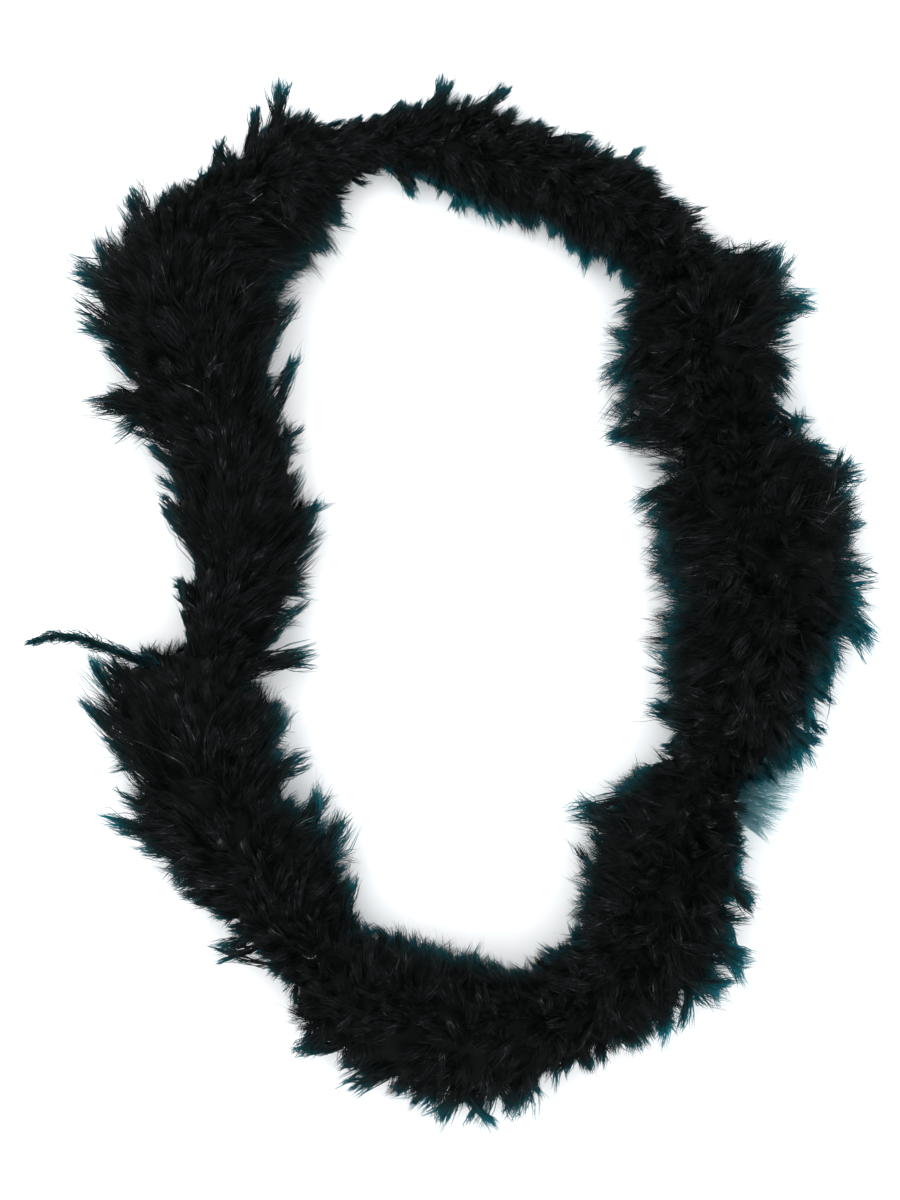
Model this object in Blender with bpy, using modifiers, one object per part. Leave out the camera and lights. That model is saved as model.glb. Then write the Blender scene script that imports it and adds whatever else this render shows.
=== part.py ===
"""A black marabou feather boa, lying in a closed loop on a flat surface.

The boa is one long core cord. A thread binds the quills of downy plumes to it all the way
along, so that they stand out round it like a bottle brush, and each end is whipped and knotted.
It bends anywhere, so here it is cut into links that hinge on each other at the cord's middle.
Every link holds a length of cord, its binding and its plumes. The links run clockwise seen from
above, from the end that lies right of the join at the top.

Metres, +Z up. The origin is on the floor under the middle of the boa's box, and +Y is the
loop's long way.
"""

from functools import cache
from math import cos, pi, radians, sin, tan

import bmesh
import bpy
from mathutils import Vector

NAME = "feather_boa"

# Driving dimensions
CORD_D = 0.005  # cotton core cord
THREAD_GAP = 0.0004  # between the cord and its binding
BINDING_WALL = 0.0012  # thread and the quill ends under it
PLUME_BORE_R = 0.0058  # the plumes start here, clear of the binding
HINGE_GAP = 0.0010  # half the slit between two links' plumes
OPEN_DEG = 45.0  # how far each hinge bends from rest
SET_BACK = 1.12  # a link's end slants back from a hinge by this times half of OPEN_DEG
VALLEY = 0.33  # how far the gaps between tufts reach, against the tufts' tips
LEAN = 0.010  # how far the tufts' tips lean along the boa
FLOOR_LIFT = 0.005  # cord height over the floor is this and LIE times the plumes' reach
LIE = 0.46
TOP = 0.62  # reach upwards against the mean reach sideways
BELOW = 1.35  # reach downwards before the floor flattens it, the same way
NECK = 0.92  # the tufts next to a hinge are this much shorter
CORD_SLIT = 0.0004  # from a hinge to the cord's cut
BINDING_SLIT = 0.0008  # from a hinge to the binding's end
KNOT_R = 0.0044
KNOT_GAP = 0.0003  # from a knot to the rest of the cord
WHIPPING_GAP = 0.0008  # from a knot to its whipping
BINDING_GAP = 0.0006  # from a whipping to the binding
KNOT_INSET = 0.006  # from the boa's end to the knot's middle
WHIPPING_LENGTH = 0.009
WHIPPING_R = 0.0046

COLUMNS = 16  # tufts and gaps round the boa
RINGS = 11  # tufts and gaps along a link, and one
CORD_POINTS = 8  # along a link

# The boa's route, from end to end: x, y, and how far the plumes' tips reach to the loop's outside
# and to its inside. Every second station is a hinge, and those between are the links' middles.
STATIONS = (
    (-0.042, 0.363, 0.026, 0.022),
    (0.016, 0.361, 0.053, 0.042),
    (0.073, 0.341, 0.046, 0.046),
    (0.126, 0.311, 0.052, 0.050),
    (0.176, 0.272, 0.052, 0.054),
    (0.203, 0.206, 0.077, 0.074),
    (0.212, 0.132, 0.060, 0.064),
    (0.237, 0.066, 0.084, 0.080),
    (0.256, -0.006, 0.100, 0.082),
    (0.238, -0.075, 0.074, 0.078),
    (0.207, -0.136, 0.058, 0.046),
    (0.178, -0.198, 0.066, 0.074),
    (0.158, -0.264, 0.082, 0.072),
    (0.107, -0.321, 0.060, 0.062),
    (0.036, -0.346, 0.072, 0.060),
    (-0.044, -0.334, 0.080, 0.068),
    (-0.109, -0.289, 0.046, 0.048),
    (-0.146, -0.235, 0.056, 0.070),
    (-0.175, -0.179, 0.066, 0.060),
    (-0.200, -0.118, 0.076, 0.074),
    (-0.196, -0.046, 0.042, 0.048),
    (-0.168, 0.033, 0.050, 0.060),
    (-0.172, 0.115, 0.062, 0.056),
    (-0.196, 0.176, 0.082, 0.074),
    (-0.211, 0.236, 0.084, 0.074),
    (-0.203, 0.284, 0.076, 0.070),
    (-0.174, 0.323, 0.048, 0.068),
    (-0.120, 0.350, 0.054, 0.062),
    (-0.056, 0.361, 0.026, 0.022),
)
LINKS = len(STATIONS) // 2

# Hinges that lift the boa off the floor. The others turn flat on it and open the loop.
LIFTING = (3, 5, 10, 11)

# The one long plume that strays from the left side, from its root to its tip
STRAY_ROUTE = (
    (-0.234, -0.040, 0.036),
    (-0.252, -0.034, 0.040),
    (-0.279, -0.029, 0.041),
    (-0.305, -0.029, 0.036),
    (-0.336, -0.031, 0.026),
)
STRAY_R = 0.0026
STRAY_SIZES = (0.55, 1.0, 1.0, 0.85, 0.35)  # of STRAY_R, at each of those points

BLACK_DOWN = ("black_down", (0.006, 0.007, 0.007, 1.0), 0.85)
BLACK_COTTON = ("black_cotton", (0.018, 0.018, 0.019, 1.0), 0.90)
BLACK_THREAD = ("black_thread", (0.012, 0.012, 0.013, 1.0), 0.55)
BLACK_QUILL = ("black_quill", (0.010, 0.012, 0.013, 1.0), 0.60)


def clear_scene():
    for obj in list(bpy.data.objects):
        bpy.data.objects.remove(obj, do_unlink=True)


def material(name, colour, roughness):
    made = bpy.data.materials.get(name)
    if made is None:
        made = bpy.data.materials.new(name)
        made.use_nodes = True
        shader = made.node_tree.nodes["Principled BSDF"]
        shader.inputs["Base Color"].default_value = colour
        shader.inputs["Roughness"].default_value = roughness
        shader.inputs["Metallic"].default_value = 0.0
        made.diffuse_color = colour
    return made


def add_object(collection, name, data, look):
    obj = bpy.data.objects.new(name, data)
    data.materials.append(material(*look))
    collection.objects.link(obj)
    return obj


def near_station(k):
    """Station k, or one step past either end in a straight line."""
    if k < 0:
        return 2 * Vector(STATIONS[0]) - Vector(STATIONS[1])
    if k >= len(STATIONS):
        return 2 * Vector(STATIONS[-1]) - Vector(STATIONS[-2])
    return Vector(STATIONS[k])


def stations_near(u):
    """The four stations round u, and how far u is from the second to the third."""
    i = min(max(int(u), 0), len(STATIONS) - 2)
    return u - i, [near_station(k) for k in range(i - 1, i + 3)]


def route(u):
    """x and y at u: a cubic B-spline, which bends evenly and passes close by each station."""
    t, (a, b, c, d) = stations_near(u)
    mixed = (
        (1 - t) ** 3 * a
        + (3 * t**3 - 6 * t**2 + 4) * b
        + (1 + 3 * t + 3 * t**2 - 3 * t**3) * c
        + t**3 * d
    ) / 6
    return mixed[0], mixed[1]


def side_reach(u):
    """How far the tufts' tips reach to the loop's outside and inside at u."""
    t, (a, b, c, d) = stations_near(u)
    mixed = 0.5 * (
        2 * b + (c - a) * t + (2 * a - 5 * b + 4 * c - d) * t**2 + (3 * b - a - 3 * c + d) * t**3
    )
    return mixed[2], mixed[3]


def cord_height(u):
    """The cord rides as high over the floor as its plumes hold it."""
    outer, inner = side_reach(u)
    return FLOOR_LIFT + LIE * (outer + inner) / 2


def cord_point(u):
    return Vector((*route(u), cord_height(u)))


def along(u):
    """The horizontal direction of the boa at u."""
    step = 0.02
    last = len(STATIONS) - 1
    ahead = cord_point(min(u + step, last)) - cord_point(max(u - step, 0))
    ahead.z = 0
    return ahead.normalized()


def outward(u):
    """The horizontal direction from the cord to the loop's outside, with the route clockwise."""
    ahead = along(u)
    return Vector((-ahead.y, ahead.x, 0))


@cache
def travelled(link):
    """Pairs of the distance along the cord from the link's first hinge, and u there."""
    steps = 64
    made = [(0.0, 2.0 * link - 2)]
    for k in range(1, steps + 1):
        u = 2 * link - 2 + 2 * k / steps
        made.append((made[-1][0] + (cord_point(u) - cord_point(made[-1][1])).length, u))
    return made


def link_length(link):
    return travelled(link)[-1][0]


def u_at(link, distance):
    """u at a distance along the cord from the link's first hinge."""
    table = travelled(link)
    k = 1
    while k < len(table) - 1 and table[k][0] < distance:
        k += 1
    (low, u_low), (high, u_high) = table[k - 1], table[k]
    return u_low + (u_high - u_low) * (distance - low) / (high - low)


def reach(u, angle):
    """How far the tufts' tips are from the cord, at an angle from the outside over the top."""
    outer, inner = side_reach(u)
    side = outer if cos(angle) > 0 else inner
    height = (outer + inner) / 2 * (TOP if sin(angle) > 0 else BELOW)
    return 1 / ((cos(angle) / side) ** 2 + (sin(angle) / height) ** 2) ** 0.5


def set_back(hinge, radius, angle):
    """How far from a hinge a point of a link stays, so that the link can bend by OPEN_DEG."""
    if hinge in (0, LINKS):
        return HINGE_GAP
    towards = sin(angle) if hinge in LIFTING else cos(angle)
    return HINGE_GAP + SET_BACK * radius * max(towards, 0) * tan(radians(OPEN_DEG / 2))


def plume_point(link, length, share, radius, angle, lean=0.0):
    """A point of a link's plumes: share is how far along the link, from 0 to 1."""
    start = set_back(link - 1, radius, angle)
    end = length - set_back(link, radius, angle)
    u = u_at(link, start + share * (end - start) + lean)
    side = outward(u) * cos(angle) + Vector((0, 0, sin(angle)))
    point = cord_point(u) + side * radius
    point.z = max(point.z, 0.0)
    return point


def tip_or_gap(ring, column):
    """1 on a tuft's tip and VALLEY between tufts. Underneath, weight presses them into a pad."""
    underneath = 3 * COLUMNS // 4
    if abs(column - underneath) <= 1:
        return 1.0
    return 1.0 if (ring + column) % 2 == 0 else VALLEY


def plumes(collection, link):
    """The link's plumes as one pointed, tufted tube round the binding, flat on the floor."""
    name = f"plumes_{link:02d}"
    length = link_length(link)
    half = COLUMNS // 2
    build = bmesh.new()
    skin = []
    for ring in range(RINGS + 1):
        share = ring / RINGS
        swell = NECK + (1 - NECK) * min(1.0, 4 * share, 4 * (1 - share))
        row = []
        for column in range(COLUMNS):
            angle = 2 * pi * column / COLUMNS
            factor = tip_or_gap(ring, column)
            radius = reach(2 * link - 2 + 2 * share, angle) * swell * factor
            lean = LEAN * 4 * share * (1 - share) if factor == 1.0 else 0.0
            row.append(build.verts.new(plume_point(link, length, share, radius, angle, lean)))
        skin.append(row)
    bore = []
    for k in range(CORD_POINTS):
        share = k / (CORD_POINTS - 1)
        row = []
        for column in range(half):
            angle = 2 * pi * column / half
            row.append(build.verts.new(plume_point(link, length, share, PLUME_BORE_R, angle)))
        bore.append(row)
    for low, high in zip(skin, skin[1:]):
        for j in range(COLUMNS):
            n = (j + 1) % COLUMNS
            build.faces.new((low[j], low[n], high[n], high[j]))
    for low, high in zip(bore, bore[1:]):
        for j in range(half):
            n = (j + 1) % half
            build.faces.new((low[j], high[j], high[n], low[n]))
    for rim, hole, facing in ((skin[0], bore[0], 1), (skin[-1], bore[-1], -1)):
        for j in range(half):
            before, here, after = rim[2 * j - 1], rim[2 * j], rim[(2 * j + 1) % COLUMNS]
            near, far = hole[j], hole[(j + 1) % half]
            for corners in ((near, here, before), (near, after, here), (near, far, after)):
                build.faces.new(corners[::facing])
    bmesh.ops.triangulate(build, faces=build.faces[:])
    bmesh.ops.recalc_face_normals(build, faces=build.faces[:])
    mesh = bpy.data.meshes.new(name)
    build.to_mesh(mesh)
    build.free()
    return add_object(collection, name, mesh, BLACK_DOWN)


def link_points(link, start, end):
    """Points of the cord's middle line along a link, start and end metres in from its hinges."""
    length = link_length(link)
    made = []
    for k in range(CORD_POINTS):
        share = k / (CORD_POINTS - 1)
        made.append(cord_point(u_at(link, start + share * (length - start - end))))
    return made


def tube_curve(name, points, radius, capped):
    """A round tube along points, as a curve."""
    curve = bpy.data.curves.new(name, "CURVE")
    curve.dimensions = "3D"
    curve.bevel_depth = radius
    curve.bevel_resolution = 2
    curve.use_fill_caps = capped
    line = curve.splines.new("POLY")
    line.points.add(len(points) - 1)
    for spot, point in zip(line.points, points):
        spot.co = (*point, 1.0)
    return curve


def inset(link, at_start, clearance, at_boa_end):
    """The distance that a link's inner piece keeps from the hinge at one of its ends."""
    hinge = link - 1 if at_start else link
    return at_boa_end if hinge in (0, LINKS) else clearance


def core_cord(collection, link):
    name = f"core_cord_{link:02d}"
    clearance = CORD_SLIT + CORD_D / 2 * tan(radians(OPEN_DEG / 2))
    at_end = KNOT_INSET + KNOT_R + KNOT_GAP
    points = link_points(link, inset(link, True, clearance, at_end), inset(link, False, clearance, at_end))
    return add_object(collection, name, tube_curve(name, points, CORD_D / 2, True), BLACK_COTTON)


def quill_binding(collection, link):
    """The thread that binds the quills to the cord, as a sleeve on the cord."""
    name = f"quill_binding_{link:02d}"
    inner = CORD_D / 2 + THREAD_GAP
    clearance = BINDING_SLIT + (inner + BINDING_WALL) * tan(radians(OPEN_DEG / 2))
    at_end = KNOT_INSET + KNOT_R + WHIPPING_GAP + WHIPPING_LENGTH + BINDING_GAP
    points = link_points(link, inset(link, True, clearance, at_end), inset(link, False, clearance, at_end))
    obj = add_object(collection, name, tube_curve(name, points, inner, False), BLACK_THREAD)
    wall = obj.modifiers.new("wall", "SOLIDIFY")
    wall.thickness = BINDING_WALL
    wall.offset = 1.0
    return obj


def u_from_end(at_start, distance):
    """u at a distance along the cord from one of the boa's ends."""
    return u_at(1, distance) if at_start else u_at(LINKS, link_length(LINKS) - distance)


def end_knot(collection, letter, at_start):
    """The overhand knot in the cord's end, as the lump it pulls into."""
    name = f"end_knot_{letter}"
    build = bmesh.new()
    bmesh.ops.create_uvsphere(build, u_segments=10, v_segments=7, radius=KNOT_R)
    mesh = bpy.data.meshes.new(name)
    build.to_mesh(mesh)
    build.free()
    mesh.shade_smooth()
    knot = add_object(collection, name, mesh, BLACK_COTTON)
    knot.location = cord_point(u_from_end(at_start, KNOT_INSET))
    return knot


def end_whipping(collection, letter, at_start):
    """Close turns of thread that lock the binding at the cord's end: a turned collar."""
    name = f"end_whipping_{letter}"
    inner = CORD_D / 2 + THREAD_GAP
    low = -WHIPPING_LENGTH / 2
    high = WHIPPING_LENGTH / 2
    edge = 0.0006
    profile = (
        (inner, high),
        (WHIPPING_R - edge, high),
        (WHIPPING_R, high - edge),
        (WHIPPING_R, low + edge),
        (WHIPPING_R - edge, low),
        (inner, low),
    )
    mesh = bpy.data.meshes.new(name)
    edges = [(k, (k + 1) % len(profile)) for k in range(len(profile))]
    mesh.from_pydata([(r, 0.0, z) for r, z in profile], edges, [])
    collar = add_object(collection, name, mesh, BLACK_THREAD)
    turn = collar.modifiers.new("turned", "SCREW")
    turn.steps = 12
    turn.render_steps = 12
    turn.use_merge_vertices = True
    turn.merge_threshold = 0.00005
    from_end = KNOT_INSET + KNOT_R + WHIPPING_GAP + WHIPPING_LENGTH / 2
    u = u_from_end(at_start, from_end)
    collar.location = cord_point(u)
    step = 0.05
    axis = cord_point(u + step) - cord_point(u - step)
    collar.rotation_euler = axis.to_track_quat("Z", "Y").to_euler()
    return collar


def stray_plume(collection):
    """One long thin plume that has worked loose and points away to the left."""
    points = [Vector(point) for point in STRAY_ROUTE]
    curve = tube_curve("stray_plume", points, STRAY_R, True)
    for spot, size in zip(curve.splines[0].points, STRAY_SIZES):
        spot.radius = size
    return add_object(collection, "stray_plume", curve, BLACK_QUILL)


def main():
    clear_scene()
    collection = bpy.data.collections.new(NAME)
    bpy.context.scene.collection.children.link(collection)
    for link in range(1, LINKS + 1):
        core_cord(collection, link)
        quill_binding(collection, link)
        plumes(collection, link)
    for letter, at_start in (("a", True), ("b", False)):
        end_knot(collection, letter, at_start)
        end_whipping(collection, letter, at_start)
    stray_plume(collection)


main()
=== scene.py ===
"""A black marabou feather boa, lying in a closed loop on a pale floor.

Each piece of plumage grows on the cord from the middle of one section to the middle of the next.
A plume is a curved quill with downy barbs along its outer part, and the barbs gather into pointed wisps.
Metres, +Z up. u counts along the boa from its first end, 28 at its other end, and the hinges are
at every even u. Angles round the cord go from the loop's outside, over the top, to its inside.
"""

import math

import bpy
import numpy as np
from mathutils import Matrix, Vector


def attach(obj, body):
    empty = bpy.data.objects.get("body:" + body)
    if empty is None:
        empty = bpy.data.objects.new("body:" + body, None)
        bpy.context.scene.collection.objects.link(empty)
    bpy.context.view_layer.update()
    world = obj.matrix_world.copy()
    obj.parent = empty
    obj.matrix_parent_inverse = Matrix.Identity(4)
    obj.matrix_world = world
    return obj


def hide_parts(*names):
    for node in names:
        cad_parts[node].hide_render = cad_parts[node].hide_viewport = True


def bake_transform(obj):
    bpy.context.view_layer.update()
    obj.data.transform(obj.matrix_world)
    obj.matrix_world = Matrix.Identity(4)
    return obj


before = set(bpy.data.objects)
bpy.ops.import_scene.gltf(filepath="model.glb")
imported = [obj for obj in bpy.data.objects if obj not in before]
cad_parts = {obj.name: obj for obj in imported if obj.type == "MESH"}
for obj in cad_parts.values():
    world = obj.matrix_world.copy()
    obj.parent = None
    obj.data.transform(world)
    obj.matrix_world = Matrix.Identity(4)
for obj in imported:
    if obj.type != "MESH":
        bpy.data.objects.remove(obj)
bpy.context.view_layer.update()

# The cord's route at each whole u, as in the CAD part: x, y, and the plumes' reach to the loop's
# outside and inside there, which sets how high the cord rides
STATIONS = np.array((
    (-0.042, 0.363, 0.026, 0.022), (0.016, 0.361, 0.053, 0.042), (0.073, 0.341, 0.046, 0.046),
    (0.126, 0.311, 0.052, 0.050), (0.176, 0.272, 0.052, 0.054), (0.203, 0.206, 0.077, 0.074),
    (0.212, 0.132, 0.060, 0.064), (0.237, 0.066, 0.084, 0.080), (0.256, -0.006, 0.100, 0.082),
    (0.238, -0.075, 0.074, 0.078), (0.207, -0.136, 0.058, 0.046), (0.178, -0.198, 0.066, 0.074),
    (0.158, -0.264, 0.082, 0.072), (0.107, -0.321, 0.060, 0.062), (0.036, -0.346, 0.072, 0.060),
    (-0.044, -0.334, 0.080, 0.068), (-0.109, -0.289, 0.046, 0.048), (-0.146, -0.235, 0.056, 0.070),
    (-0.175, -0.179, 0.066, 0.060), (-0.200, -0.118, 0.076, 0.074), (-0.196, -0.046, 0.042, 0.048),
    (-0.168, 0.033, 0.050, 0.060), (-0.172, 0.115, 0.062, 0.056), (-0.196, 0.176, 0.082, 0.074),
    (-0.211, 0.236, 0.084, 0.074), (-0.203, 0.284, 0.076, 0.070), (-0.174, 0.323, 0.048, 0.068),
    (-0.120, 0.350, 0.054, 0.062), (-0.056, 0.361, 0.026, 0.022),
))
LAST = len(STATIONS) - 1
LINKS = LAST // 2

# The outline's lobes and necks, read from the photo: u, and how many millimetres the
# wisps reach there, to the loop's outside and to its inside
OUTSIDE = np.array((
    (0, 27), (0.5, 38), (1, 40), (1.5, 36), (2.5, 38), (3, 48), (3.5, 41), (3.75, 50), (4.05, 43),
    (4.5, 78), (4.75, 78), (5, 61), (5.25, 66), (5.5, 62), (5.8, 50), (6, 44), (6.5, 70), (7, 83),
    (7.5, 80), (8, 76), (8.5, 60), (9, 62), (9.5, 58), (9.8, 36), (10, 30), (10.5, 42), (11, 52),
    (11.5, 64), (12, 76), (12.25, 76), (12.5, 68), (12.75, 60), (13, 51), (13.5, 50), (14, 65),
    (14.5, 63), (15, 57), (15.5, 57), (15.75, 56), (16, 31), (16.5, 29), (17, 40), (17.5, 56),
    (18, 66), (18.45, 73), (19, 66), (19.45, 92), (19.8, 80), (20, 24), (20.5, 35), (20.8, 24),
    (21, 36), (21.4, 57), (22, 49), (22.4, 47), (22.7, 70), (23, 84), (23.5, 68), (24, 78),
    (24.5, 80), (25, 51), (25.5, 36), (25.75, 27), (26.5, 21), (26.8, 44), (27, 40), (27.5, 23),
    (28, 26),
))
INSIDE = np.array((
    (0, 21), (0.5, 33), (1, 45), (1.5, 49), (2, 48), (2.5, 40), (2.9, 46), (3.5, 36), (4, 33),
    (4.5, 57), (5, 68), (5.4, 80), (5.8, 84), (6.2, 48), (6.5, 66), (6.75, 77), (7, 73), (8, 76),
    (8.75, 82), (9.4, 62), (9.75, 46), (10, 45), (10.5, 57), (11, 74), (11.4, 72), (12, 61),
    (12.5, 42), (13, 47), (13.5, 48), (14, 57), (14.5, 65), (15.5, 62), (16, 41), (16.4, 66),
    (17, 76), (17.5, 66), (18, 47), (18.5, 58), (19, 70), (19.4, 68), (20, 46), (20.75, 67),
    (21.3, 73), (21.8, 61), (22.25, 58), (22.5, 50), (23, 60), (23.5, 86), (24, 72), (25, 76),
    (26, 78), (26.5, 76), (27, 64), (27.2, 48), (27.5, 34), (28, 20),
))
# Plumes that stand out as spikes: u, 1 outside or -1 inside, and how many millimetres they reach
SPIKES = np.array((
    (0.0, 1, 31), (0.5, 1, 50), (1.2, 1, 52), (2.3, 1, 43), (4.5, 1, 80), (4.9, 1, 84), (6.2, 1, 64),
    (6.9, 1, 90), (8.2, 1, 84), (11.2, 1, 68), (11.8, 1, 82), (13.9, 1, 64), (14.4, 1, 70),
    (15.1, 1, 69), (15.6, 1, 66), (16.7, 1, 56), (18.4, 1, 82), (19.4, 1, 96), (19.7, 1, 92),
    (20.6, 1, 38), (21.4, 1, 58), (22.2, 1, 58), (23.0, 1, 90), (23.9, 1, 87), (24.3, 1, 87),
    (25.1, 1, 64), (26.2, 1, 41), (26.7, 1, 50), (27.0, 1, 61),
    (0.2, -1, 40), (2.8, -1, 45), (5.1, -1, 80), (5.8, -1, 84), (6.5, -1, 75), (7.2, -1, 83),
    (9.6, -1, 63), (10.9, -1, 86), (17.3, -1, 82), (17.7, -1, 77), (18.4, -1, 74), (20.2, -1, 80),
    (21.4, -1, 70), (22.7, -1, 74), (27.2, -1, 50),
)) / (1, 1, 1000)
SPIKE_PLUMES = 3  # in each spike
# Notches between the plumes: u, 1 outside or -1 inside, and how many millimetres the wisps reach
NOTCHES = np.array((
    (4.2, 1, 45), (6.0, 1, 44), (10.0, 1, 28), (18.8, 1, 50), (20.1, 1, 20), (23.3, 1, 42),
    (26.4, 1, 14), (6.1, -1, 44), (9.8, -1, 37), (19.8, -1, 36),
)) / (1, 1, 1000)
NOTCH_HALF = 0.06  # in u, and how fast its sides open, in metres for one u
NOTCH_OPENS = 0.22
# How much teal light comes through the thin outline, outside and inside, at each whole u
TEAL_OUTSIDE = np.array((
    0.4, 0.4, 0.3, 0.3, 0.4, 0.7, 1.0, 1.0, 1.0, 1.0, 0.8, 1.0, 1.0, 0.9, 0.7, 0.6, 0.4, 0.5, 0.5,
    0.5, 0.5, 0.5, 0.5, 0.5, 0.5, 0.5, 0.4, 0.4, 0.4,
))
TEAL_INSIDE = np.array((
    0.5, 1.0, 1.0, 0.8, 0.7, 0.5, 0.4, 0.5, 0.4, 0.5, 0.5, 0.5, 0.4, 0.3, 0.3, 0.4, 0.5, 0.6, 0.5,
    0.4, 0.5, 0.5, 0.5, 0.4, 0.2, 0.1, 0.0, 0.1, 0.2,
))
# Where the outside is a sparse veil of barbs: u, and how sparse
VEIL_U = (7.6, 8.3, 9.6, 10.2, 11.0, 11.6, 12.3, 13.0)
VEIL = (0.0, 0.85, 0.85, 0.0, 0.1, 0.35, 0.35, 0.0)
# The loose plume at the left side, from its root to its tip
STRAY = np.array((
    (-0.228, -0.052, 0.040), (-0.247, -0.046, 0.043), (-0.268, -0.039, 0.043),
    (-0.286, -0.031, 0.041), (-0.305, -0.028, 0.036), (-0.322, -0.030, 0.031),
    (-0.338, -0.036, 0.026),
))
STRAY_BARBS = 900
STRAY_THICK = 0.0062
# Single strands that show: the piece of plumage, z, tone, and x and y at three points. Four are
# quill ends that lie on top, whose high tone is a painted highlight on the quill, and the others cross the
# sparse veil
STRANDS = np.array((
    (12, 0.088, 2.4, -0.208, 0.167, -0.197, 0.164, -0.187, 0.156),
    (12, 0.088, 3.0, -0.154, 0.305, -0.149, 0.310, -0.144, 0.313),
    (9, 0.086, 2.2, -0.244, -0.108, -0.222, -0.116, -0.201, -0.129),
    (8, 0.080, 3.0, -0.114, -0.274, -0.107, -0.280, -0.103, -0.274),
    (4, 0.056, 0.6, 0.288, -0.034, 0.303, -0.071, 0.293, -0.098),
    (4, 0.058, 0.6, 0.262, -0.044, 0.290, -0.066, 0.272, -0.086),
    (4, 0.058, 0.6, 0.256, -0.060, 0.280, -0.088, 0.262, -0.102),
    (5, 0.058, 0.6, 0.272, -0.088, 0.292, -0.100, 0.268, -0.112),
    (5, 0.056, 0.6, 0.258, -0.106, 0.276, -0.122, 0.250, -0.134),
))
# The palest part of the veil: where its barbs start and end, from its upper to its lower side
SHEER_ROOT = np.array(((0.246, -0.106), (0.230, -0.142), (0.226, -0.172)))
SHEER_TIP = np.array(((0.290, -0.118), (0.284, -0.152), (0.256, -0.196)))
SHEER_BARBS = 650
SHEER_PIECE = 5
TUFT = 0.15  # in u, from one tuft of the outline to the next

# How far the plumes lean along the boa, against their reach, at each half u
LEAN = np.array((
    0.7, 0.6, 0.5, 0.5, 0.55, 0.55, 0.5, 0.4, 0.1, -0.25, 0.0, 0.15, 0.0, -0.25, -0.15, 0.05, 0.2,
    0.3, 0.35, 0.4, 0.2, -0.1, 0.0, 0.1, 0.2, 0.3, 0.3, 0.25, 0.25, 0.3, 0.4, 0.45, 0.4, 0.4, 0.5,
    0.5, 0.55, 0.6, 0.7, 0.8, 0.6, 0.6, 0.7, 0.8, 0.7, 0.6, 0.7, 0.8, 0.8, 0.8, 0.7, 0.6, 0.5,
    0.5, 0.6, 1.0, 1.1,
))

FLOOR_LIFT = 0.005  # cord height over the floor is this and LIE times the plumes' reach
LIE = 0.46
TOP = 0.62  # reach upwards against the mean reach sideways
BELOW = 1.10  # reach downwards before the floor flattens it, the same way
BINDING_R = 0.0040  # the quills start here
SETTLED = 0.102  # tips above this lie down
SETTLED_SHARE = 0.3  # and keep this share of what they rise over it
STEP = 0.067  # metres of boa for one u, near enough

SEED = 41
PLUMES = 400  # on one piece
WISPS = 9  # on one plume
BARBS = 8  # in one wisp
BARB_WIDTH = 0.00052
FUZZ = 0.03  # the share of barbs that are long and hair-fine
TIP_SHARE = 0.86  # the quill's tip, against the wisps' reach
OUTERMOST = 0.62  # the share of plumes whose tips are at the boa's surface
ALONG_BARB = (0.0, 0.33, 0.67, 1.0)  # where a barb's four points lie on its curve
UNDERDOWN = 0.70  # how far the close down reaches, against the wisps' reach
UNDERDOWN_IN_VEIL = 0.62  # the same, under the sparse veil
LUMPS = 0.05  # the close down's lumps, in the same measure

TEAL_BAND = 0.014  # how far above and below the cord the barbs let light through
TINT_ALONG = np.array((0.15, 0.6, 1.0, 1.0))  # from a barb's root to its tip


def read_at(table, u, step=1.0):
    return np.interp(u / step, np.arange(len(table)), table)


def spline_points(u):
    """The route's x and y at u: a cubic B-spline through the stations' neighbourhoods."""
    xy = STATIONS[:, :2]
    near = np.vstack([2 * xy[0] - xy[1], xy, 2 * xy[-1] - xy[-2]])
    held = np.clip(u, 0, LAST)
    i = np.clip(np.floor(held).astype(int), 0, LAST - 1)
    t = (held - i)[:, None]
    made = (
        (1 - t) ** 3 * near[i]
        + (3 * t**3 - 6 * t**2 + 4) * near[i + 1]
        + (1 + 3 * t + 3 * t**2 - 3 * t**3) * near[i + 2]
        + t**3 * near[i + 3]
    ) / 6
    ends = np.where(u[:, None] < 0, near[1] - near[0], near[-1] - near[-2])
    return made + ends * (u - held)[:, None]


def cord_points(u):
    z = FLOOR_LIFT + LIE * read_at(STATIONS[:, 2:].mean(1), u)
    return np.column_stack([spline_points(u), z])


def unit(v):
    return v / np.maximum(np.linalg.norm(v, axis=-1, keepdims=True), 1e-9)


def directions(u):
    """Along the boa and to the loop's outside at u, both level."""
    along = spline_points(u + 0.02) - spline_points(u - 0.02)
    along = unit(np.column_stack([along, np.zeros(len(u))]))
    outside = np.column_stack([-along[:, 1], along[:, 0], np.zeros(len(u))])
    return along, outside


def side_reach(u, side):
    """How far the wisps reach level, to the loop's outside (side 1) or inside (side -1)."""
    made = np.interp(u, *(OUTSIDE if side > 0 else INSIDE).T) / 1000
    for at, on, depth in NOTCHES:
        if on == side:
            opened = depth + NOTCH_OPENS * np.maximum(np.abs(u - at) - NOTCH_HALF, 0)
            made = np.minimum(made, opened)
    return made


def reach(u, angle):
    held = np.clip(u, 0, LAST)
    outer, inner = side_reach(held, 1), side_reach(held, -1)
    side = np.where(np.cos(angle) > 0, outer, inner)
    height = (outer + inner) / 2 * np.where(np.sin(angle) > 0, TOP, BELOW)
    return 1 / np.sqrt((np.cos(angle) / side) ** 2 + (np.sin(angle) / height) ** 2)


def radial(outside, angle):
    return outside * np.cos(angle)[:, None] + np.outer(np.sin(angle), (0, 0, 1))


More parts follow.
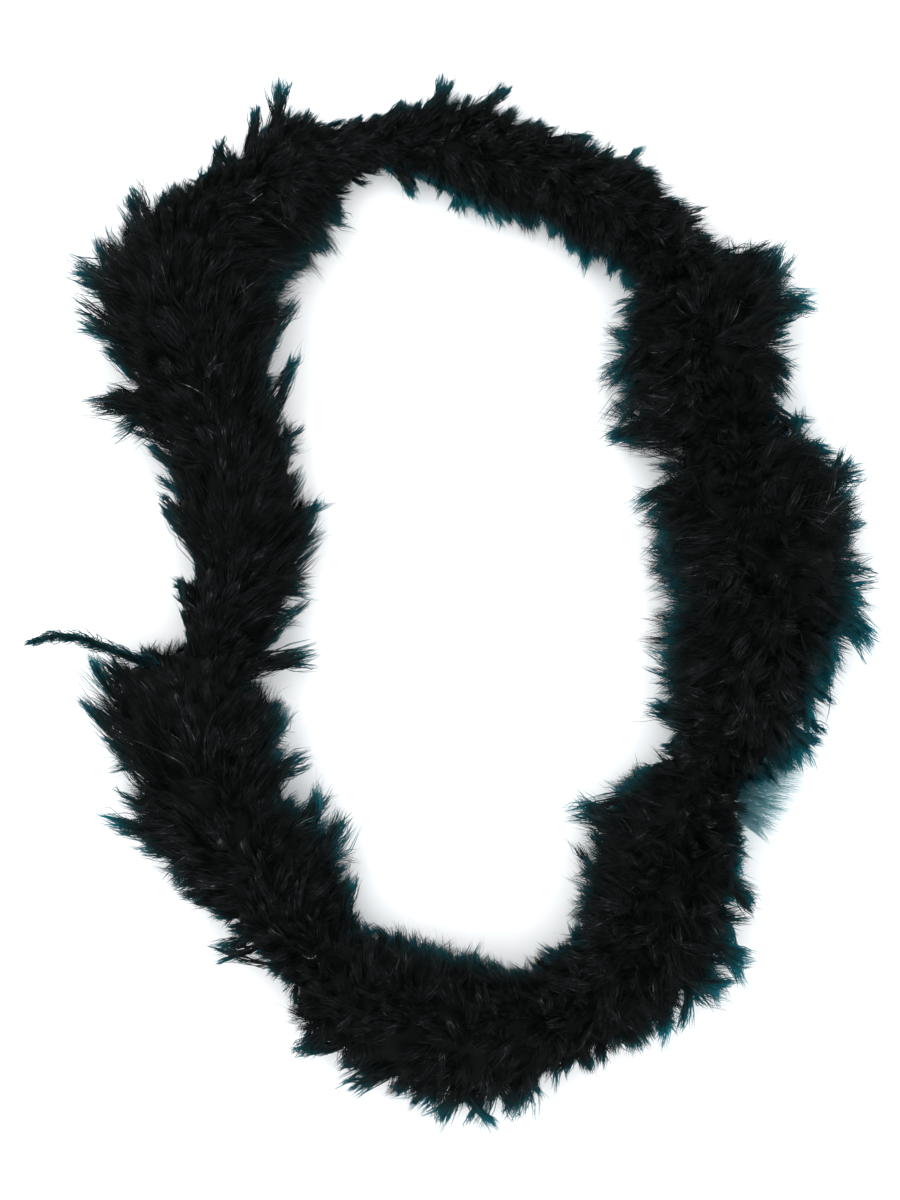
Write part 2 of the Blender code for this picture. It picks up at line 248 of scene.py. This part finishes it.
def tips_of(rng, low, high, count):
    """u and angle of each plume's tip, spread evenly over the boa's surface."""
    u, angle = np.empty(0), np.empty(0)
    while len(u) < count:
        try_u = rng.uniform(low, high, 4 * count)
        try_angle = rng.uniform(-math.pi, math.pi, 4 * count)
        share = np.maximum(reach(try_u, try_angle), 0.045) / 0.09
        share *= np.where(np.sin(try_angle) < -0.45, 0.45, 1.0)
        share *= np.where(np.cos(try_angle) > 0.2, 1 - 0.15 * np.interp(try_u, VEIL_U, VEIL), 1.0)
        kept = rng.uniform(0, 1, 4 * count) < share
        u, angle = np.append(u, try_u[kept]), np.append(angle, try_angle[kept])
    return u[:count], angle[:count]


def bezier(a, b, c, t):
    return (1 - t) ** 2 * a + 2 * t * (1 - t) * b + t**2 * c


def bezier_slope(a, b, c, t):
    return 2 * (1 - t) * (b - a) + 2 * t * (c - b)


def off_floor(points, lowest):
    """Lifts what is under the floor onto it, without a hard edge, and settles the highest tips."""
    z = points[..., 2]
    z = (z + lowest + np.sqrt((z - lowest) ** 2 + 0.002**2)) / 2
    points[..., 2] = np.where(z > SETTLED, SETTLED + (z - SETTLED) * SETTLED_SHARE, z)
    return points


def scatter(number):
    """A fixed, irregular value from -1 to 1 for each whole number."""
    return 2 * np.mod(np.abs(np.sin(number * 12.9898 + 4.1)) * 43758.5453, 1) - 1


def in_tufts(u, angle, size, outermost):
    """Draws the plumes of the outline together into pointed tufts, some longer than others."""
    side = np.sign(np.cos(angle))
    share = np.where(outermost, np.clip((np.abs(np.cos(angle)) - 0.65) / 0.25, 0, 1), 0.0)
    tuft = np.floor(u / TUFT)
    middle = (tuft + 0.5 + 0.3 * scatter(tuft + 500 * side)) * TUFT
    off = u - middle
    longer = 0.075 * scatter(tuft + 900 * side) - 0.11 * np.abs(off) / (TUFT / 2) + 0.035
    return middle + off * (1 - 0.68 * share), size * (1 + longer * share)


def barbs_of(rng, low, high, count):
    """The barbs of count plumes with tips from low to high: lines, facings, widths, tones, tints."""
    u, angle = tips_of(rng, low, high, count)
    top_layer = rng.uniform(0, 1, count) < OUTERMOST
    u, size = in_tufts(u, angle, reach(u, angle), top_layer)
    depth = np.where(top_layer, rng.normal(0.95, 0.07, count), rng.uniform(0.52, 0.91, count))
    spikes = np.repeat(SPIKES[(SPIKES[:, 0] >= low) & (SPIKES[:, 0] < high)], SPIKE_PLUMES, axis=0)
    spread = rng.normal(0, 1, (2, len(spikes)))
    u = np.append(u, spikes[:, 0] + 0.03 * spread[0])
    angle = np.append(angle, np.where(spikes[:, 1] > 0, 0.0, math.pi) + 0.12 * spread[1])
    size = np.append(size, spikes[:, 2])
    depth = np.append(depth, np.ones(len(spikes)))
    gather = np.clip(0.5 + 1.2 * (np.abs(np.cos(angle)) - 0.7), 0.5, 0.85)
    count = len(u)
    held = np.clip(u, 0, LAST)
    lean = read_at(LEAN, held, 0.5) * (1.5 - 0.5 * np.abs(np.cos(angle))) + rng.normal(0, 0.32, count)
    root_u = u - lean * size / STEP
    # A plume rises from the cord and falls over to its side, so that it lies along the surface
    over = np.where(angle < -math.pi / 2, angle + 2 * math.pi, angle)
    parting = math.pi / 2 + 0.3 * np.sin(5.1 * u) + rng.normal(0, 0.35, count)
    fallen = parting + (over - parting) * rng.uniform(0.35, 0.85, count)
    mid_angle = np.where(np.sin(angle) > -0.35, fallen, angle) + rng.normal(0, 0.2, count)
    mid_u = root_u * 0.55 + u * 0.45
    along, outside = directions(u)
    mid_side = radial(directions(mid_u)[1], mid_angle)
    mid_reach = reach(mid_u, mid_angle) * np.minimum(depth, 1) * 0.74
    axis_root = cord_points(root_u) + radial(directions(root_u)[1], mid_angle) * BINDING_R
    axis_mid = cord_points(mid_u) + mid_side * mid_reach[:, None]
    axis_mid += along * (rng.normal(0, 0.13, count) * size)[:, None]
    axis_tip = cord_points(u) + radial(outside, angle) * (size * depth * TIP_SHARE)[:, None]
    plume = np.repeat(np.arange(count), WISPS)
    n = len(plume)
    # Each wisp: where it starts on the quill, which way it stands off, and how long it is
    start = 0.25 + 0.70 * rng.beta(1.6, 1.2, n)
    turn = rng.uniform(0, 2 * math.pi, n)
    length = size[plume] * rng.uniform(0.42, 0.78, n) * (1.25 - 0.65 * start) + 0.004
    wisp = np.repeat(np.arange(n), BARBS)
    m = len(wisp)
    plume_of = plume[wisp]
    at = np.clip(start[wisp] + rng.normal(0, 0.07, m), 0.1, 0.99)[:, None]
    a, b, c = axis_root[plume_of], axis_mid[plume_of], axis_tip[plume_of]
    base = bezier(a, b, c, at)
    ahead = unit(bezier_slope(a, b, c, at))
    final = unit(c - b)
    normal = unit(radial(outside, angle)[plume_of] + mid_side[plume_of])
    across = unit(np.cross(ahead, normal))
    up = np.cross(across, ahead)
    own_turn = turn[wisp] + rng.normal(0, 0.3, m)
    stand = across * np.cos(own_turn)[:, None] + up * (0.45 * np.sin(own_turn))[:, None]
    own_length = (length[wisp] * rng.uniform(0.75, 1.2, m))[:, None]
    fuzz = rng.uniform(0, 1, m) < FUZZ
    own_length[fuzz] *= 1.15
    splay = np.radians(rng.uniform(8, 40, m))[:, None]
    mid = base + own_length * 0.5 * (np.cos(splay) * ahead + np.sin(splay) * stand)
    splay_end = np.radians(rng.uniform(-6, 18, m))[:, None]
    heading = unit(ahead + final)
    end = mid + own_length * 0.5 * (np.cos(splay_end) * heading + np.sin(splay_end) * stand)
    # The wisp's barbs come together at its tip, and the wisps at the plume's
    wisp_end = np.zeros((n, 3))
    np.add.at(wisp_end, wisp, end)
    wisp_end = (wisp_end / BARBS)[wisp] + heading * own_length * 0.12
    plume_end = c + final * (size * 0.16)[plume_of][:, None]
    wisp_end += (plume_end - wisp_end) * gather[plume_of][:, None] * np.clip(at * 2 - 0.8, 0, 1)
    end = end + (wisp_end - end) * np.where(fuzz, 0.2, rng.uniform(0.5, 0.95, m))[:, None]
    line = np.stack([bezier(base, mid, end, t) for t in ALONG_BARB], 1)
    line[:, 1:3] += rng.normal(0, 0.03, (m, 2, 3)) * own_length[:, :, None]
    line = off_floor(line, rng.uniform(0.0005, 0.004, m)[:, None])
    jitter = rng.normal(0, 0.6, (m, 3))
    # Each barb's tone differs at random by plume, wisp and barb. The deeper plumes are also painted darker,
    # as painted shade for their place down in the plumage
    tone = np.exp(rng.normal(0, 0.17, count))[plume_of] * np.exp(rng.normal(-0.07, 0.13, n))[wisp]
    tone *= np.exp(rng.normal(0, 0.29, m)) * np.clip(depth, 0.5, 1.0)[plume_of]
    # How far each point is out to the boa's side, where its outline is thin
    off = np.einsum("ijk,ik->ij", line - cord_points(u)[plume_of][:, None, :], outside[plume_of])
    own_u = held[plume_of][:, None]
    out_to = np.where(off > 0, side_reach(own_u, 1), side_reach(own_u, -1))
    thin = np.abs(off) / np.maximum(out_to, size[plume_of][:, None] * 0.97)
    veil = np.where(off > 0, np.interp(own_u, VEIL_U, VEIL), 0.0)
    teal = np.where(off > 0, read_at(TEAL_OUTSIDE, own_u), read_at(TEAL_INSIDE, own_u))
    height = line[:, :, 2] - cord_points(u)[plume_of][:, 2][:, None]
    tint = np.clip((thin - 0.77 + 0.3 * veil) / 0.2, 0, 1) * np.clip(0.35 + 0.8 * teal, 0, 1)
    tint *= np.exp(-((height / (TEAL_BAND * (1 + veil))) ** 2)) * TINT_ALONG
    tint *= np.where(rng.uniform(0, 1, m) < 0.2, 0.3, 1.0)[:, None]
    width = BARB_WIDTH * rng.uniform(0.7, 1.3, m) * (1 + tint.max(1)) * np.where(fuzz, 0.35, 1.0)
    # The outline's barbs lie flat side up
    flat = tint.max(1)[:, None]
    facing = unit(normal * (1 - flat) + jitter * (1 - 0.75 * flat) + flat * (0, 0, 2.0))
    return line, facing, width, np.clip(tone, 0, 2.6), tint


def ribbons(line, facing, width):
    """Seven vertices for each line of four points: three pairs and a tip."""
    slope = unit(np.gradient(line, axis=1))
    side = unit(np.cross(slope, facing[:, None, :]))
    taper = np.array((0.8, 1.0, 0.7))[None, :, None]
    half = side[:, :3] * taper * (width[:, None, None] / 2)
    made = np.empty((len(line), 7, 3))
    made[:, 0:6:2] = line[:, :3] - half
    made[:, 1:6:2] = line[:, :3] + half
    made[:, 6] = line[:, 3]
    return made


RIBBON_LOOPS = np.array((0, 1, 3, 2, 2, 3, 5, 4, 4, 5, 6))
RIBBON_SIZES = np.array((4, 4, 3))
TUBE_ROWS = 25
TUBE_COLUMNS = 24
UV_SHARE = 0.9  # the ribbons' part of the UV square, from the bottom


def underdown(low, high):
    """A lumpy tube of close down round the cord, that shows only between the plumes."""
    u = np.linspace(low, high, TUBE_ROWS)
    angle = np.linspace(-math.pi, math.pi, TUBE_COLUMNS, endpoint=False)
    uu, aa = (x.ravel() for x in np.meshgrid(u, angle, indexing="ij"))
    outside = directions(uu)[1]
    veil = np.where(np.cos(aa) > 0, np.interp(uu, VEIL_U, VEIL), 0.0)
    lumps = UNDERDOWN - (UNDERDOWN - UNDERDOWN_IN_VEIL) * veil
    lumps += LUMPS * np.sin(9.1 * uu + 3 * aa) * np.sin(5.3 * uu - 2 * aa)
    points = cord_points(uu) + radial(outside, aa) * (reach(uu, aa) * lumps)[:, None]
    return off_floor(points, 0.001)


def build_mesh(name, strands, tones, tints, tube):
    """One mesh from ribbons and an underdown tube, with its tone, tint and UV."""
    count = len(strands)
    verts = strands.reshape(-1, 3)
    loops = (np.arange(count)[:, None] * 7 + RIBBON_LOOPS).ravel()
    sizes = np.tile(RIBBON_SIZES, count)
    grid = math.ceil(math.sqrt(count / UV_SHARE))
    cell = np.array((1 / grid, UV_SHARE / math.ceil(count / grid)))
    corner = np.column_stack([np.arange(count) % grid, np.arange(count) // grid]) * cell
    inside = np.array(((0.2, 0.1), (0.8, 0.1), (0.2, 0.4), (0.8, 0.4), (0.2, 0.7), (0.8, 0.7), (0.5, 0.95)))
    uv = corner[:, None, :] + inside * cell
    uv = uv[:, RIBBON_LOOPS].reshape(-1, 2)
    if tube is not None:
        rows_columns = np.meshgrid(np.arange(TUBE_ROWS - 1), np.arange(TUBE_COLUMNS), indexing="ij")
        i, j = (x.ravel() for x in rows_columns)
        n = (j + 1) % TUBE_COLUMNS
        quads = np.column_stack([i, i, i + 1, i + 1]) * TUBE_COLUMNS + np.column_stack([j, n, n, j])
        loops = np.append(loops, (quads + len(verts)).ravel())
        sizes = np.append(sizes, np.full(len(quads), 4))
        verts = np.vstack([verts, tube])
        # The close down gets a low tone, painted shade for its place deep between the plumes
        tones = np.append(tones, np.full(len(tube), 0.3))
        tints = np.append(tints, np.zeros(len(tube)))
        tube_uv = np.stack([
            np.column_stack([i, i, i + 1, i + 1]) / TUBE_ROWS,
            UV_SHARE + 0.01 + (0.98 - UV_SHARE) * np.column_stack([j, j + 1, j + 1, j]) / TUBE_COLUMNS,
        ], -1)
        uv = np.vstack([uv, tube_uv.reshape(-1, 2)])
    mesh = bpy.data.meshes.new(name)
    mesh.vertices.add(len(verts))
    mesh.vertices.foreach_set("co", verts.astype(np.float32).ravel())
    mesh.loops.add(len(loops))
    mesh.loops.foreach_set("vertex_index", loops.astype(np.int32))
    mesh.polygons.add(len(sizes))
    mesh.polygons.foreach_set("loop_start", (np.cumsum(sizes) - sizes).astype(np.int32))
    mesh.polygons.foreach_set("use_smooth", np.ones(len(sizes), bool))
    mesh.update(calc_edges=True)
    for label, values in (("tone", tones), ("tint", tints)):
        mesh.attributes.new(label, "FLOAT", "POINT").data.foreach_set("value", values.astype(np.float32))
    mesh.uv_layers.new(name="OFBake").data.foreach_set("uv", uv.astype(np.float32).ravel())
    return mesh


def plain(name, colour, roughness):
    made = bpy.data.materials.get(name) or bpy.data.materials.new(name)
    made.use_nodes = True
    shader = made.node_tree.nodes["Principled BSDF"]
    shader.inputs["Base Color"].default_value = (*colour, 1)
    shader.inputs["Roughness"].default_value = roughness
    return made


def multiply(nodes, links, a, b):
    made = nodes.new("ShaderNodeMath")
    made.operation = "MULTIPLY"
    links.new(a, made.inputs[0])
    links.new(b, made.inputs[1])
    return made.outputs[0]


def patches(nodes, links, scale, low, high):
    """Noise that varies from low to high over about 1 / scale metres."""
    noise = nodes.new("ShaderNodeTexNoise")
    noise.inputs["Scale"].default_value = scale
    noise.inputs["Detail"].default_value = 3
    spread = nodes.new("ShaderNodeMapRange")
    spread.inputs["From Min"].default_value = 0.36
    spread.inputs["From Max"].default_value = 0.64
    spread.inputs["To Min"].default_value = low
    spread.inputs["To Max"].default_value = high
    links.new(noise.outputs["Fac"], spread.inputs["Value"])
    return spread.outputs["Result"]


def down_material():
    """Black down that changes from wisp to wisp. The outline's thin tips let teal light through."""
    made = plain("black_down_look", (0.003, 0.0035, 0.0037), 0.7)
    nodes, links = made.node_tree.nodes, made.node_tree.links
    shader = nodes["Principled BSDF"]
    shader.inputs["Specular IOR Level"].default_value = 0.05
    tone = nodes.new("ShaderNodeAttribute")
    tone.attribute_name = "tone"
    tint = nodes.new("ShaderNodeAttribute")
    tint.attribute_name = "tint"
    broad = patches(nodes, links, 14, 0.55, 1.5)
    fine = patches(nodes, links, 45, 0.68, 1.38)
    patchy = multiply(nodes, links, broad, fine)
    shade = multiply(nodes, links, tone.outputs["Fac"], patchy)
    spread = nodes.new("ShaderNodeMapRange")
    spread.inputs["From Max"].default_value = 5.0
    links.new(shade, spread.inputs["Value"])
    # The ramp's pale top end takes the highest tones, among them the quills' painted highlight
    ramp = nodes.new("ShaderNodeValToRGB")
    stops = ramp.color_ramp.elements
    stops[0].color = (0.0006, 0.0008, 0.0008, 1)
    stops[1].color = (0.17, 0.185, 0.185, 1)
    for place, colour in ((0.2, (0.0045, 0.0059, 0.0059, 1)), (0.6, (0.0195, 0.0222, 0.0222, 1))):
        stops.new(place).color = colour
    links.new(spread.outputs["Result"], ramp.inputs["Fac"])
    links.new(ramp.outputs["Color"], shader.inputs["Base Color"])
    paler = nodes.new("ShaderNodeMapRange")
    paler.inputs["From Min"].default_value = 1.0
    paler.inputs["From Max"].default_value = 2.0
    links.new(tint.outputs["Fac"], paler.inputs["Value"])
    glow = nodes.new("ShaderNodeMix")
    glow.data_type = "RGBA"
    glow.inputs["A"].default_value = (0.018, 0.41, 0.50, 1)
    glow.inputs["B"].default_value = (0.42, 0.70, 0.74, 1)
    links.new(paler.outputs["Result"], glow.inputs["Factor"])
    thin = nodes.new("ShaderNodeBsdfTranslucent")
    links.new(glow.outputs["Result"], thin.inputs["Color"])
    share = nodes.new("ShaderNodeMapRange")
    share.inputs["To Max"].default_value = 0.85
    links.new(tint.outputs["Fac"], share.inputs["Value"])
    both = nodes.new("ShaderNodeMixShader")
    links.new(share.outputs["Result"], both.inputs["Fac"])
    links.new(shader.outputs["BSDF"], both.inputs[1])
    links.new(thin.outputs["BSDF"], both.inputs[2])
    links.new(both.outputs["Shader"], nodes["Material Output"].inputs["Surface"])
    return made


def spun_material(name, colour, roughness, scale):
    """Cotton cord or thread: its tone changes along it in fine patches."""
    made = plain(name, colour, roughness)
    nodes, links = made.node_tree.nodes, made.node_tree.links
    ramp = nodes.new("ShaderNodeValToRGB")
    ramp.color_ramp.elements[0].color = (*(c * 0.5 for c in colour), 1)
    ramp.color_ramp.elements[1].color = (*(c * 1.7 for c in colour), 1)
    links.new(patches(nodes, links, scale, 0.0, 1.0), ramp.inputs["Fac"])
    links.new(ramp.outputs["Color"], nodes["Principled BSDF"].inputs["Base Color"])
    return made


def dress(obj, fallback, look):
    """The mesh keeps a plain finish, and the object shows the procedural one."""
    obj.data.materials.clear()
    obj.data.materials.append(fallback)
    obj.material_slots[0].link = "OBJECT"
    obj.material_slots[0].material = look


AIM_HEIGHT = 0.03
FRAME_LONG_SIDE = 0.948  # metres that the picture's long side takes in, at that height


def make_camera():
    data = bpy.data.cameras.new("camera")
    data.lens = 85
    data.sensor_width = 36
    camera = bpy.data.objects.new("camera", data)
    bpy.context.scene.collection.objects.link(camera)
    camera.location = (0, 0, AIM_HEIGHT + FRAME_LONG_SIDE / data.sensor_width * data.lens)
    bpy.context.scene.camera = camera


def make_studio():
    scene = bpy.context.scene
    scene.view_settings.view_transform = "Standard"
    world = bpy.data.worlds.new("studio")
    scene.world = world
    world.use_nodes = True
    world.node_tree.nodes["Background"].inputs["Color"].default_value = (0.97, 0.985, 1.0, 1)
    world.node_tree.nodes["Background"].inputs["Strength"].default_value = 1.7
    key = bpy.data.lights.new("key", "AREA")
    key.energy = 11
    key.size = 1.2
    lamp = bpy.data.objects.new("key", key)
    scene.collection.objects.link(lamp)
    lamp.location = (-1.1, 1.1, 1.7)
    lamp.rotation_euler = (Vector((0, 0, 0)) - lamp.location).to_track_quat("-Z", "Y").to_euler()
    mesh = bpy.data.meshes.new("floor")
    mesh.from_pydata([(-6, -6, 0), (6, -6, 0), (6, 6, 0), (-6, 6, 0)], [], [(0, 1, 2, 3)])
    floor = bpy.data.objects.new("floor", mesh)
    scene.collection.objects.link(floor)
    mesh.materials.append(plain("floor_look", (0.92, 0.92, 0.92), 0.9))


def add_piece(name, mesh):
    obj = bpy.data.objects.new(name, mesh)
    bpy.context.scene.collection.objects.link(obj)
    dress(obj, plain("black_down_plain", (0.01, 0.011, 0.012), 0.7), down_look)
    return obj


def strand_lines(rows):
    """The single strands' lines: each is two lines of four points, end to end."""
    a, b, c = (np.column_stack([rows[:, i:i + 2], rows[:, 1]]) for i in (3, 5, 7))
    halves = (np.linspace(0.0, 0.55, 4), np.linspace(0.45, 1.0, 4))
    return np.vstack([np.stack([bezier(a, b, c, t) for t in half], 1) for half in halves])


def sheer_lines(rng):
    """Hair-fine barbs that fan out, one deep, over the palest part of the veil."""
    at = rng.uniform(0, 1, SHEER_BARBS)
    fan = at + rng.normal(0, 0.10, SHEER_BARBS)
    spots = (0.0, 0.5, 1.0)
    root = np.column_stack([np.interp(at, spots, SHEER_ROOT[:, i]) for i in (0, 1)])
    tip = np.column_stack([np.interp(fan, spots, SHEER_TIP[:, i]) for i in (0, 1)])
    tip = root + (tip - root) * rng.uniform(0.55, 1.0, SHEER_BARBS)[:, None]
    mid = (root + tip) / 2 + rng.normal(0, 0.003, (SHEER_BARBS, 2))
    z = rng.uniform(0.024, 0.036, SHEER_BARBS)
    a, b, c = (np.column_stack([p, z + drop]) for p, drop in ((root, 0.004), (mid, 0.004), (tip, -0.006)))
    return np.stack([bezier(a, b, c, t) for t in ALONG_BARB], 1)


def make_plumage(k):
    """The plumes between the middles of sections k and k + 1."""
    rng = np.random.default_rng(SEED + k)
    low = 2 * k - 1 if k > 1 else -0.15
    high = 2 * k + 1 if k < LINKS - 1 else LAST + 0.2
    count = int(PLUMES * (high - low) / 2)
    line, facing, width, tone, tint = barbs_of(rng, low, high, count)
    extras = []
    # Single strands. The four quills' pale tone is a painted highlight
    rows = STRANDS[STRANDS[:, 0] == k]
    if len(rows):
        extras.append((strand_lines(rows), 0.0007, np.tile(rows[:, 2], 2), 0.0))
    if k == SHEER_PIECE:
        extras.append((sheer_lines(rng), 0.0004, np.ones(SHEER_BARBS), 2.0))
    for more, wide, shade, pale in extras:
        line = np.vstack([line, more])
        facing = np.vstack([facing, np.tile((0, 0, 1), (len(more), 1))])
        width = np.append(width, np.full(len(more), wide))
        tone = np.append(tone, shade)
        tint = np.vstack([tint, np.full((len(more), 4), pale)])
    strands = ribbons(line, facing, width)
    row_of = np.array((0, 0, 1, 1, 2, 2, 3))
    tones = tone[:, None] * np.array((0.75, 0.95, 1.15, 1.35))[row_of]
    tints = tint[:, row_of]
    name = f"plumage_{k:02d}"
    tube = underdown(max(low, 0), min(high, LAST))
    obj = add_piece(name, build_mesh(name, strands, tones.ravel(), tints.ravel(), tube))
    covered = (k,) if k < LINKS - 1 else (k, k + 1)
    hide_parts(*(f"plumes_{n:02d}" for n in covered))
    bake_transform(obj)


def stray_at(share):
    """Points on the loose plume's quill, from 0 at its root to 1 at its tip."""
    knots = np.linspace(0, 1, len(STRAY))
    return np.column_stack([np.interp(share, knots, STRAY[:, i]) for i in range(3)])


def make_stray():
    """The loose plume: a quill with short barbs that lie close along it."""
    rng = np.random.default_rng(SEED)
    at = np.append(np.zeros(60), rng.uniform(0, 0.93, STRAY_BARBS - 60) ** 1.15)
    here = stray_at(at)
    heading = unit(stray_at(at + 0.02) - here)
    length = rng.uniform(0.010, 0.022, STRAY_BARBS) * (1.1 - 0.5 * at)
    ends = np.minimum(at + length / 0.125, 1.0)
    end = stray_at(ends)
    side = unit(rng.normal(0, 1, (STRAY_BARBS, 3)) * (1, 1, 0.6) - heading)
    thick = STRAY_THICK * (1.15 - 0.35 * at) * rng.uniform(0.3, 1.1, STRAY_BARBS)
    loose = np.where(rng.uniform(0, 1, STRAY_BARBS) < 0.12, 1.6, 0.45)
    mid = (here + end) / 2 + side * (2 * thick)[:, None]
    end += side * (thick * loose * np.minimum(1, 12 * (1 - ends)))[:, None]
    line = np.stack([bezier(here, mid, end, t) for t in ALONG_BARB], 1)
    quill = stray_at(np.linspace(0, 1, 13))
    quill = np.stack([quill[0:12:3], quill[1:13:3], quill[2:13:3], quill[3:13:3]], 1)
    line = np.vstack([line, quill, quill])
    facing = unit(rng.normal(0, 1, (len(line), 3)) + (0, 0, 0.8))
    width = np.append(np.full(STRAY_BARBS, 0.0008), np.full(2 * len(quill), 0.0012))
    tones = np.repeat(rng.uniform(0.3, 1.2, len(line)), 7)
    tints = np.repeat(rng.uniform(0.0, 0.5, len(line)), 7)
    mesh = build_mesh("stray_plumage", ribbons(line, facing, width), tones, tints, None)
    obj = add_piece("stray_plumage", mesh)
    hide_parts("stray_plume")
    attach(obj, "section_11")


def finish_cad():
    """The cord, its binding, knots and whippings stay the CAD part's own."""
    cotton = spun_material("black_cotton_look", (0.018, 0.018, 0.019), 0.9, 900)
    thread = spun_material("black_thread_look", (0.012, 0.012, 0.013), 0.6, 1500)
    for name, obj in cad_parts.items():
        if not obj.hide_render:
            obj.material_slots[0].link = "OBJECT"
            obj.material_slots[0].material = thread if "binding" in name or "whipping" in name else cotton


make_camera()
make_studio()
down_look = down_material()
for k in range(1, LINKS):
    make_plumage(k)
make_stray()
finish_cad()
